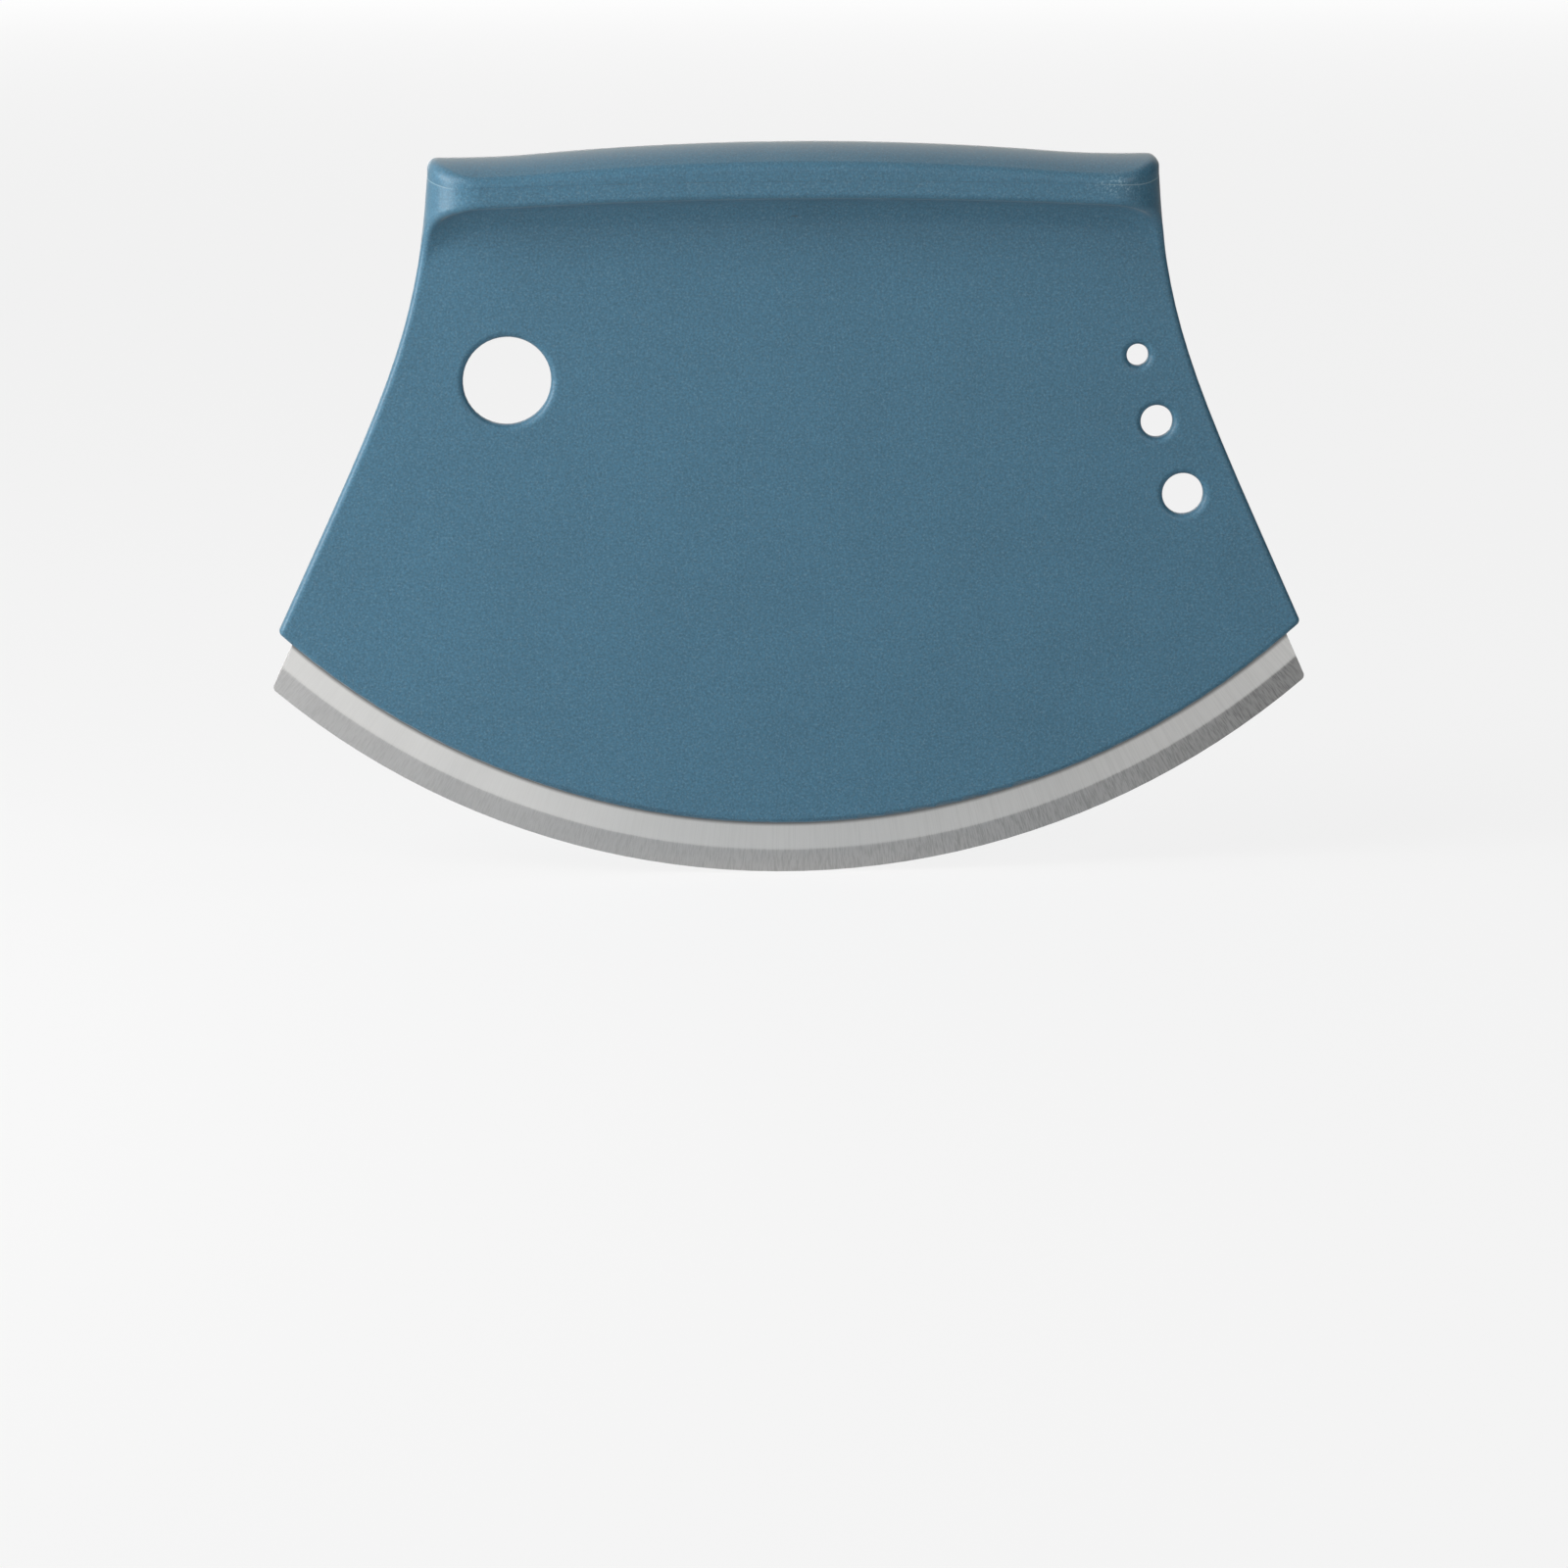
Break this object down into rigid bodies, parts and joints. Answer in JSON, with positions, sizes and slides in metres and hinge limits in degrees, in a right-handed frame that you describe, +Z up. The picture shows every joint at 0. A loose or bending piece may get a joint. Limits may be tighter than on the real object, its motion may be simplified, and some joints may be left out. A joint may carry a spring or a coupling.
{
  "type": "mezzaluna",
  "caption": "One-handed rocking mezzaluna: a shallow steel arc blade moulded into a flared plastic plate with a thick grip bar, a hanging hole and graduated herb stripping holes.",
  "frame": {"origin": "the lowest point of the cutting edge, in the middle of the knife's length and thickness, which is the middle of the bounding box's base", "axes": "+X along the blade and the grip, +Y through the thickness from the face in the picture to the back, +Z up from the cutting edge to the grip"},
  "size_m": [0.1804, 0.019, 0.1287],
  "materials": {
    "steel": "fine brushed, with a ground bevel along the edge",
    "grip_plastic": "satin moulded polypropylene with a very fine sparkle texture"
  },
  "bodies": {
    "root": {"blade": "steel", "handle_body": "grip_plastic", "grip_cap": "grip_plastic"}
  },
  "joints": []
}
